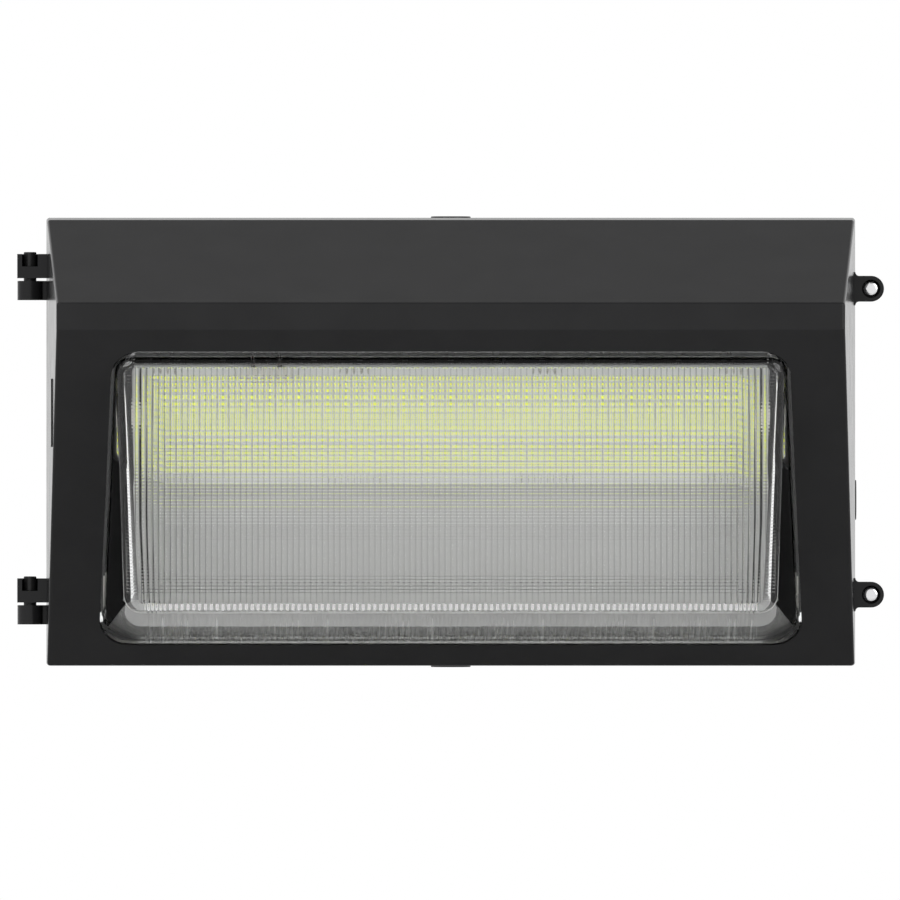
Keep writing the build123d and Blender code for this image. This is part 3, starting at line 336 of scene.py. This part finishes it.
NODE_MATERIALS = {
    "back_housing": powder_coat, "front_door": powder_coat, "door_gasket": rubber,
    "plug_seals": rubber, "lens_gasket": rubber, "hinge_bushes": black_plastic,
    "hinge_pins": black_steel, "closure_plugs": plug_metal, "led_driver": driver_black,
    "driver_screws": zinc, "surge_protector": black_plastic, "wire_nuts": nut_orange,
    "driver_leads": wire_black, "surge_leads": wire_black, "ground_lead": wire_green,
    "ground_screw": zinc, "led_leads": wire_sleeved, "bracket_left": zinc, "bracket_right": zinc,
    "bracket_screws": zinc, "led_plate": bare_aluminium, "plate_screws": zinc,
    "led_board": board_white, "leds": phosphor, "board_screws": zinc,
    "board_connectors": connector_white, "reflector": white_sheet, "reflector_screws": zinc,
    "reflector_clips": connector_white, "lens": clear_glass, "lens_clips": spring_steel,
    "lens_clip_screws": zinc, "door_screw_upper": chrome, "door_screw_lower": chrome,
    "captive_ring_upper": black_plastic, "captive_ring_lower": black_plastic,
}
for node_name, node_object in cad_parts.items():
    for material_slot in node_object.material_slots:
        material_slot.material = NODE_MATERIALS[node_name]


# ------------------------------------------------------------------ geometry helpers
def unit(vector):
    vector = np.asarray(vector, dtype=float)
    return vector / np.linalg.norm(vector)


def pointing(vector, way):
    """Unit vector along a line, in the sense nearer to a given way."""
    vector = unit(vector)
    return vector if vector @ np.array(way) > 0 else -vector


def corner_arc(corner, before, after, radius):
    """Centre, start and end of the arc that rounds a corner between two ways out of it."""
    opening = math.acos(np.clip(before @ after, -1, 1))
    reach = radius / math.tan(opening / 2)
    centre = corner + unit(before + after) * radius / math.sin(opening / 2)
    return centre, corner + before * reach, corner + after * reach


def spoke(arc, share):
    """Way from a corner arc's centre to the point that lies a share of the way along it."""
    centre, start, end = arc
    angle = share * math.pi / 2
    return unit((start - centre) * math.cos(angle) + (end - centre) * math.sin(angle))


RIGHT = np.array((1.0, 0, 0))
MIRROR = np.array((-1.0, 1, 1))
SLOPE_NORMAL = unit((0, face_fall, -face_run))
SLOPE_POINT = np.array((0, nose, band_bottom))
SLOPE_DOWN = unit((0, -face_run, -face_fall))


def face_forward(z):
    return nose - face_run * (band_bottom - z) / face_fall


def depth_of(point):
    """How far a point lies behind the sloping face."""
    return -(point - SLOPE_POINT) @ SLOPE_NORMAL


def on_slope(x, drop, depth):
    return SLOPE_POINT + np.array((x, 0, 0)) + SLOPE_DOWN * drop - SLOPE_NORMAL * depth


def along(point, direction, depth):
    """How far to go from a point, in a direction, to a depth behind the sloping face."""
    return (depth_of(point) - depth) / (direction @ SLOPE_NORMAL)


def meet(*planes):
    """Point where three planes meet."""
    normals = np.array([normal for _, normal in planes])
    return np.linalg.solve(normals, [point @ normal for point, normal in planes])


def piece(name, body, points, faces, materials, face_materials, smooth_angle=None):
    """Mesh object made of millimetre points, riding on a body."""
    mesh = bpy.data.meshes.new(name)
    metres = np.asarray(points, dtype=float) * (0.001, -0.001, 0.001)
    mesh.from_pydata([tuple(point) for point in metres], [], faces)
    for made in materials:
        mesh.materials.append(made)
    mesh.polygons.foreach_set("material_index", face_materials)
    shape = bmesh.new()
    shape.from_mesh(mesh)
    bmesh.ops.recalc_face_normals(shape, faces=shape.faces)
    shape.to_mesh(mesh)
    shape.free()
    if smooth_angle is not None:
        mesh.shade_smooth()
        mesh.set_sharp_from_angle(angle=math.radians(smooth_angle))
    mesh.validate()
    made = bpy.data.objects.new(name, mesh)
    scene.collection.objects.link(made)
    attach(made, body)
    return made


class Skin:
    """Collects rings of points and the faces between them, and each face's material number."""

    def __init__(self):
        self.points = []
        self.faces = []
        self.kinds = []

    def face(self, corners, kind):
        self.faces.append(tuple(corners))
        self.kinds.append(kind)

    def ring(self, points):
        start = len(self.points)
        self.points.extend(points)
        return list(range(start, start + len(points)))

    def band(self, first, second, kind=CLEAR, where=()):
        """Faces between two closed rings, of another kind where both ends are in where."""
        for index in range(len(first)):
            after = (index + 1) % len(first)
            chosen = kind if index in where and after in where else CLEAR
            self.face((first[index], first[after], second[after], second[index]), chosen)

    def strip(self, first, second, kind):
        """Faces between two open rows."""
        for k in range(len(first) - 1):
            self.face((first[k], first[k + 1], second[k + 1], second[k]), kind)

    def turns(self, ring):
        """How far round the opening's middle each point of a closed ring lies, and a full turn."""
        middle = on_slope(0.0, (opening_top + opening_foot) / 2, flange_back)
        made = []
        for index in ring:
            away = self.points[index] - middle
            made.append(math.atan2(away[0], -(away @ SLOPE_DOWN)) % (2 * math.pi))
        return [0.0] + made[1:] + [2 * math.pi]

    def lace(self, first, second):
        """Triangles between two closed rings, the first round the second in the sloping face."""
        a, b = len(first), len(second)
        first_turns, second_turns = self.turns(first), self.turns(second)
        i = j = 0
        while i < a or j < b:
            if j == b or (i < a and first_turns[i + 1] <= second_turns[j + 1]):
                self.face((first[i % a], first[(i + 1) % a], second[j % b]), CLEAR)
                i += 1
            else:
                self.face((first[i % a], second[(j + 1) % b], second[j % b]), CLEAR)
                j += 1

    def cover(self, ring, stations, half_row, kind):
        """Faces over the front inside a closed ring, row by row from its top to its foot.

        half_row gives the right half of a row's own points, from the middle outwards.
        """
        parts = [station.part for station in stations]
        top, foot = parts.count("top"), len(parts) - 1 - parts.count("foot")
        rows = [across(ring, range(top + 1))]
        for index in range(top + 1, foot):
            half = half_row(index)
            between = self.ring([point * MIRROR for point in half[:0:-1]] + half)
            rows.append([ring[-index]] + between + [ring[index]])
        rows.append(across(ring, range(len(parts) - 1, foot - 1, -1)))
        for above, below in zip(rows, rows[1:]):
            self.strip(above, below, kind)


def across(ring, half):
    """Row of a closed ring's points from left to right, from its right half, middle first."""
    return [ring[-k] for k in reversed(half[1:])] + [ring[k] for k in half]


def mirrored(half):
    """A closed loop from its right half, whose ends lie in the middle plane."""
    return list(half) + [point * MIRROR for point in half[-2:0:-1]]


# ------------------------------------------------------------------ prismatic lens
def wall_planes(insets, top_behind):
    """Front, bottom, top and right side planes of the lens, each a point and outer normal.

    The top wall's root lies top_behind the sloping face.
    """
    front_top = np.array((0, *lens_front_top))
    front_bottom = np.array((0, *lens_front_bottom))
    root_bottom = np.array((0, face_forward(lens_root_bottom_z), lens_root_bottom_z))
    back = top_behind / math.cos(face_angle)
    root_top = np.array((0, face_forward(lens_root_top_z) - back, lens_root_top_z))
    top_corner = np.array((
        opening_half_top - lens_side_inset, face_forward(lens_root_top_z), lens_root_top_z,
    ))
    bottom_corner = np.array((
        opening_half_bottom - lens_side_inset, face_forward(lens_root_bottom_z),
        lens_root_bottom_z,
    ))
    front_corner = np.array((lens_front_half, *lens_front_bottom))
    side_normal = np.cross(bottom_corner - top_corner, front_corner - top_corner)
    walls = {
        "front": (front_bottom, np.cross(RIGHT, front_top - front_bottom), (0, 1, 0)),
        "bottom": (front_bottom, np.cross(RIGHT, front_bottom - root_bottom), (0, 0, -1)),
        "top": (front_top, np.cross(RIGHT, root_top - front_top), (0, 0, 1)),
        "side": (top_corner, side_normal, (1, 0, 0)),
    }
    planes = {}
    for key, (point, normal, outwards) in walls.items():
        normal = pointing(normal, outwards)
        planes[key] = (point - normal * insets[key], normal)
    return planes


def half_loop(planes, corner_radius, columns, rows, arc_steps):
    """Right half of the lens's front outline, from the middle of its top to that of its foot.

    Each station has its point, the way in along the front and the way back along the wall. rows
    gives the distances down the straight side from the side's length.
    """
    normals = {key: normal for key, (_, normal) in planes.items()}
    top_corner = meet(planes["front"], planes["top"], planes["side"])
    foot_corner = meet(planes["front"], planes["bottom"], planes["side"])
    down = pointing(np.cross(normals["front"], RIGHT), (0, 0, -1))
    side_run = unit(foot_corner - top_corner)
    side_in = pointing(np.cross(normals["front"], side_run), (-1, 0, 0))

    def back_between(first, second):
        return pointing(np.cross(first, second), (0, -1, 0))

    top_back = back_between(normals["top"], RIGHT)
    foot_back = back_between(normals["bottom"], RIGHT)
    top_edge_back = back_between(normals["top"], normals["side"])
    foot_edge_back = back_between(normals["bottom"], normals["side"])
    top_arc = corner_arc(top_corner, -RIGHT, side_run, corner_radius)
    foot_arc = corner_arc(foot_corner, -side_run, -RIGHT, corner_radius)

    def straight(corner, xs, arc_end, inwards, back, part):
        """Stations along the top or the foot, short of the corner's arc."""
        middle = corner - RIGHT * corner[0]
        limit = arc_end[0] - 0.3
        return [Station(middle + RIGHT * x, inwards, back, part) for x in xs if x < limit]

    def turning(arc, first_back, last_back, part):
        """Stations round a corner."""
        made = []
        for share in np.linspace(0, 1, arc_steps + 1):
            out = spoke(arc, share)
            back = unit(first_back * (1 - share) + last_back * share)
            made.append(Station(arc[0] + out * corner_radius, -out, back, part))
        return made

    stations = straight(top_corner, columns, top_arc[1], down, top_back, "top")
    stations += turning(top_arc, top_back, top_edge_back, "top_corner")
    run = np.linalg.norm(foot_arc[1] - top_arc[2])
    for row in rows(run):
        share = row / run
        back = unit(top_edge_back * (1 - share) + foot_edge_back * share)
        stations.append(Station(top_arc[2] + side_run * row, side_in, back, "side"))
    stations += turning(foot_arc, foot_edge_back, foot_back, "foot_corner")
    stations += straight(foot_corner, columns[::-1], foot_arc[2], -down, foot_back, "foot")
    return stations


def rounded(station, radius, steps):
    """Points of the border's arc, from the front face round to the wall, and the outer normals."""
    centre, start, end = corner_arc(station.point, station.inwards, station.back, radius)
    first, last = unit(start - centre), unit(end - centre)
    sweep = math.acos(np.clip(first @ last, -1, 1))
    arc = []
    for step in range(steps + 1):
        angle = sweep * step / steps
        normal = (first * math.sin(sweep - angle) + last * math.sin(angle)) / math.sin(sweep)
        arc.append((centre + normal * radius, normal))
    return arc


def flattened(arc, share):
    """An arc of points and normals, moved by a share of the way to its straight chord."""
    first, last = arc[0], arc[-1]
    normal = unit(first[1] + last[1])
    made = []
    for step, (point, outwards) in enumerate(arc):
        chord = first[0] + (last[0] - first[0]) * step / (len(arc) - 1)
        outwards = unit(outwards + (normal - outwards) * share)
        made.append((point + (chord - point) * share, outwards))
    return made


def by_height(values, point):
    """A value between the one at the lens's top and the one at its foot."""
    share = (lens_front_top[1] - point[2]) / (lens_front_top[1] - lens_front_bottom[1])
    return values[0] + (values[1] - values[0]) * min(max(share, 0.0), 1.0)


def outline_half(grow, depth, stations):
    """Right half of the lens opening's outline, grown, with one point for each station."""
    top, foot = opening_top - grow, opening_foot + grow
    half_top, half_foot = opening_half_top + grow, opening_half_bottom + grow
    radius = opening_radius + grow
    left = np.array((-1.0, 0.0))
    side = unit((half_foot - half_top, foot - top))
    upper = corner_arc(np.array((half_top, top)), left, side, radius)
    lower = corner_arc(np.array((half_foot, foot)), -side, left, radius)
    groups = {}
    for station in stations:
        groups.setdefault(station.part, []).append(station)
    top_reach = groups["top_corner"][0].point[0]
    foot_reach = groups["foot_corner"][-1].point[0]
    made = []
    for part, members in groups.items():
        for number, station in enumerate(members):
            if part == "top":
                flat = (station.point[0] * upper[1][0] / top_reach, top)
            elif part == "foot":
                flat = (station.point[0] * lower[2][0] / foot_reach, foot)
            elif part == "side":
                flat = upper[2] + (lower[1] - upper[2]) * (number + 1) / (len(members) + 1)
            else:
                arc = upper if part == "top_corner" else lower
                flat = arc[0] + spoke(arc, number / (len(members) - 1)) * radius
            made.append(on_slope(flat[0], flat[1], depth))
    return made


def prism_rows(run):
    """Both edges and the bottom of each groove, as distances down the straight side."""
    count = int(run / PRISM_PITCH)
    margin = (run - (count - 1) * PRISM_PITCH - GROOVE_WIDTH) / 2
    rows = []
    for number in range(count):
        start = margin + PRISM_PITCH * number
        rows += [start, start + GROOVE_WIDTH / 2, start + GROOVE_WIDTH]
    return rows


def outer_skin(skin):
    """Outside of the lens with its grooves and flange. Gives the flange's rear ring."""
    planes = wall_planes(NO_THICKNESS, flange_top)
    stations = half_loop(planes, OUTER_CORNER, OUTER_COLUMNS, prism_rows, 8)
    lines = []
    for station in stations:
        arc = rounded(station, by_height(OUTER_EDGE, station.point), 5)
        end = arc[-1][0]
        wall = end + station.back * max(along(end, station.back, shoulder_sunk), 0.0)
        line = [point for point, _ in arc] + [wall]
        lines.append([p + SLOPE_NORMAL * max(depth_of(p) - shoulder_sunk, 0.0) for p in line])
    rings = [skin.ring(mirrored(ring)) for ring in zip(*lines)]
    for grow, depth in (
        (-shoulder_gap, shoulder_sunk), (-shoulder_gap, flange_top), (flange_width, flange_top),
        (flange_width, flange_back),
    ):
        rings.append(skin.ring(mirrored(outline_half(grow, depth, stations))))
    for above, below in zip(rings, rings[1:]):
        skin.band(above, below)

    parts = [station.part for station in stations]
    first_groove = parts.index("side")
    front_normal = planes["front"][1]

    def half_row(index):
        """Points of a row, sunk at the bottom of a groove."""
        x, forward, z = lines[index][0]
        in_groove = parts[index] == "side" and (index - first_groove) % 3 == 1
        lift = -GROOVE_DEPTH if in_groove else 0.0
        xs = OUTER_COLUMNS[:-1] + (x - 1.0,)
        return [np.array((column, forward, z)) + front_normal * lift for column in xs]

    skin.cover(rings[0], stations, half_row, CLEAR)
    return rings[-1]


def flute(column, height):
    """Height of the round flutes at a distance from the middle."""
    share = (abs(column) / FLUTE_PITCH) % 1.0
    return height * 4 * share * (1 - share)


def squeezed(reach):
    """The flutes' columns, closed up beyond SQUEEZE_FROM so that all end before reach."""
    last = FLUTE_COLUMNS[-1]
    room = min(1.0, (reach - 0.6 - SQUEEZE_FROM) / (last - SQUEEZE_FROM))
    return [x if x <= SQUEEZE_FROM else SQUEEZE_FROM + (x - SQUEEZE_FROM) * room
            for x in FLUTE_COLUMNS]


def inner_stations(planes):
    """Stations round the inside, with one for each of the flutes' columns at top and foot."""
    loop = half_loop(
        planes, INNER_CORNER, [0.0], lambda run: [run * k / 12 for k in range(1, 12)], 6,
    )
    made = []
    for station in loop:
        if station.part == "top":
            xs = squeezed(loop[1].point[0])
        elif station.part == "foot":
            xs = squeezed(loop[-2].point[0])[::-1]
        else:
            xs = [0.0]
        made += [station._replace(point=station.point + np.array((x, 0, 0))) for x in xs]
    return made


def inner_skin(skin, flange_ring):
    """Inside of the lens with its flutes, joined to the flange's rear ring."""
    planes = wall_planes(WALL_THICKNESS, flange_back + 10.0)
    stations = inner_stations(planes)
    lines = []
    for index, station in enumerate(stations):
        arc = rounded(station, by_height(INNER_EDGE, station.point), 3)
        arc = flattened(arc, by_height(INNER_CHAMFER, station.point))
        end, normal = arc[-1]
        wall = end + station.back * max(along(end, station.back, flange_back), 0.1)
        line = arc + [(wall, normal)]
        if station.part == "foot":
            column = FLUTE_COLUMNS[len(stations) - 1 - index]
            lines.append([p - n * flute(column, h) for (p, n), h in zip(line, FOOT_HEIGHTS)])
        else:
            lines.append([point for point, _ in line])
    rings = [skin.ring(mirrored(ring)) for ring in zip(*lines)]
    parts = [station.part for station in stations]
    around = enumerate(parts + parts[-2:0:-1])
    low = {index for index, part in around if part in ("foot", "foot_corner")}
    for above, below in zip(rings, rings[1:]):
        skin.band(above, below, STIPPLED, low if below is rings[-1] else ())
    skin.lace(flange_ring, rings[-1])

    first_row = parts.count("top") + 1
    front_normal = planes["front"][1]

    def half_row(index):
        """Points of a row over the flutes, lower beside the top edge."""
        x, forward, z = lines[index][0]
        share = TOP_FLUTE_SHARE if index == first_row else 1.0
        return [
            np.array((place, forward, z)) - front_normal * (flute(column, FLUTE_HEIGHT) * share)
            for column, place in zip(FLUTE_COLUMNS, squeezed(x))
        ]

    skin.cover(rings[0], stations, half_row, FLUTED)


def build_lens():
    """Pressed glass: grooves across the outside of the front, flutes up its inside and foot."""
    skin = Skin()
    inner_skin(skin, outer_skin(skin))
    made = piece(
        "lens_refractor", "door", skin.points, skin.faces,
        [clear_glass, stippled_glass, fluted_glass], skin.kinds, smooth_angle=24,
    )
    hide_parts("lens")
    return made


lens_refractor = build_lens()


# ------------------------------------------------------------------ LED packages
BOARD_UP = np.array((0, math.sin(board_tilt), math.cos(board_tilt)))
BOARD_OUT = np.array((0, math.cos(board_tilt), -math.sin(board_tilt)))
BOARD_ORIGIN = np.array((0, *board_middle))
OVER_BOARD = 0.01           # gap under the packages
HEIGHT_SHARE = 0.985        # keeps a package's top just inside its solid
FILLET_HALF = 1.1           # solder fillets at a package's two ends
FILLET_PROFILE = ((1.75, 0.0), (1.75, 0.32), (2.0, 0.0))


def on_board(x, y, height):
    """Place on the LED board: across, up the board, and above its lit face."""
    return BOARD_ORIGIN + np.array((x, 0, 0)) + BOARD_UP * y + BOARD_OUT * height


def rounded_rectangle(width, height, radius):
    """Outline with two points at each corner."""
    corners = []
    for number, (sx, sy) in enumerate(((1, 1), (-1, 1), (-1, -1), (1, -1))):
        for step in range(2):
            angle = math.pi / 2 * (number + step)
            corners.append((
                sx * (width / 2 - radius) + radius * math.cos(angle),
                sy * (height / 2 - radius) + radius * math.sin(angle),
            ))
    return corners


def led_package():
    """Points, faces and face materials of one package, a closed body with two solder fillets."""
    outline = rounded_rectangle(3.5, 2.8, 0.15)
    window = rounded_rectangle(3.2, 2.5, 0.4)
    points, faces, kinds = [], [], []
    for shape, scale, height in (
        (outline, 1.0, 0.0), (outline, 1.0, 0.62), (outline, 0.965, 0.7),
        (window, 1.0, 0.7), (window, 0.88, 0.6), (window, 0.5, 0.66),
    ):
        points += [(x * scale, y * scale, height) for x, y in shape]
    count = len(outline)
    for ring in range(5):
        for k in range(count):
            after = (k + 1) % count
            faces.append((ring * count + k, ring * count + after,
                          (ring + 1) * count + after, (ring + 1) * count + k))
            kinds.append(PHOSPHOR if ring >= 3 else BODY)
    faces += [tuple(range(5 * count, 6 * count)), tuple(range(count))[::-1]]
    kinds += [PHOSPHOR, BODY]
    for end in (-1, 1):
        start = len(points)
        for x, height in FILLET_PROFILE:
            points += [(end * x, -FILLET_HALF, height), (end * x, FILLET_HALF, height)]
        fillet = ((2, 3, 5, 4), (0, 2, 4), (1, 5, 3), (0, 1, 3, 2), (0, 4, 5, 1))
        faces += [tuple(start + k for k in face) for face in fillet]
        kinds += [SOLDER] * len(fillet)
    return points, faces, kinds


def build_leds():
    """White packages with a sunken yellow phosphor window and a solder fillet at each end."""
    local, faces, kinds = led_package()
    points, all_faces = [], []
    for row in range(led_rows):
        for column in range(led_columns):
            x = (column - (led_columns - 1) / 2) * led_pitch
            y = (row - (led_rows - 1) / 2) * led_row_pitch
            base = len(points)
            points += [
                on_board(x + px, y + py, OVER_BOARD + pz * HEIGHT_SHARE) for px, py, pz in local
            ]
            all_faces += [tuple(base + k for k in face) for face in faces]
    made = piece(
        "led_packages", "housing", points, all_faces, [led_body, phosphor, solder],
        kinds * (led_rows * led_columns),
    )
    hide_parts("leds")
    return made


led_packages = build_leds()


# ------------------------------------------------------------------ floor, world and lamps
FLOOR_Z = -0.30
FLOOR_RADIUS = 2.4
FLOOR_FADE = (1.2, 2.3)     # distances over which the paper fades out
SURROUND_LIGHT = 0.5
CEILING_RISE = (0.40, 0.58)     # how steep a mirrored ray is where the dim ceiling begins and ends
CEILING_LEVEL = 0.30
LAMP_TARGET = (0, -0.1, 0)
LAMP_SIZE = 1.6


def build_floor():
    """Pale paper that fades out towards its edge and keeps the object's shadow."""
    shape = bmesh.new()
    bmesh.ops.create_circle(shape, cap_ends=True, radius=FLOOR_RADIUS, segments=96)
    mesh = bpy.data.meshes.new("floor")
    shape.to_mesh(mesh)
    shape.free()
    floor = bpy.data.objects.new("floor", mesh)
    floor.location = (0, 0, FLOOR_Z)
    scene.collection.objects.link(floor)
    made = bpy.data.materials.new("floor_paper")
    made.use_nodes = True
    nodes = Nodes(made.node_tree)
    length = nodes.add("ShaderNodeVectorMath", {0: nodes.place()}, operation="LENGTH")
    fade = nodes.span(length.outputs["Value"], *FLOOR_FADE)
    paper = nodes.add("ShaderNodeBsdfDiffuse", {"Color": grey(0.80)}).outputs[0]
    nothing = nodes.add("ShaderNodeBsdfTransparent").outputs[0]
    nodes.finish("ShaderNodeOutputMaterial", nodes.mix_shaders(fade, paper, nothing))
    mesh.materials.append(made)


def build_world():
    """Grey light all round. Camera and glass see white, and mirrors see a dimmer ceiling too."""
    world = bpy.data.worlds.new("studio")
    scene.world = world
    world.use_nodes = True
    nodes = Nodes(world.node_tree)
    ray = nodes.add("ShaderNodeLightPath").outputs
    seen = nodes.math("MAXIMUM", ray["Is Camera Ray"], ray["Is Glossy Ray"])
    seen = nodes.math("MAXIMUM", seen, ray["Is Transmission Ray"])
    rise = nodes.part_of(nodes.add("ShaderNodeTexCoord").outputs["Generated"], 2)
    ceiling = nodes.span(rise, *CEILING_RISE, 1.0, CEILING_LEVEL)
    missing = nodes.math("MULTIPLY", ray["Is Glossy Ray"], nodes.math("SUBTRACT", 1.0, ceiling))
    level = nodes.math("SUBTRACT", 1.0, missing)
    values = {"Color": grey(1.0), "Strength": SURROUND_LIGHT}
    light = nodes.add("ShaderNodeBackground", values).outputs[0]
    values = {"Color": grey(1.0), "Strength": level}
    white = nodes.add("ShaderNodeBackground", values).outputs[0]
    nodes.finish("ShaderNodeOutputWorld", nodes.mix_shaders(seen, light, white))


def add_lamp(name, place, power):
    data = bpy.data.lights.new(name, "AREA")
    data.shape = "SQUARE"
    data.size = LAMP_SIZE
    data.energy = power
    lamp = bpy.data.objects.new(name, data)
    lamp.location = place
    aim = Vector(LAMP_TARGET) - Vector(place)
    lamp.rotation_euler = aim.to_track_quat("-Z", "Y").to_euler()
    lamp.visible_camera = False
    scene.collection.objects.link(lamp)


build_floor()
build_world()
add_lamp("key", (-1.3, -2.2, 1.5), 45.0)
add_lamp("fill", (1.6, -1.8, 0.8), 22.0)
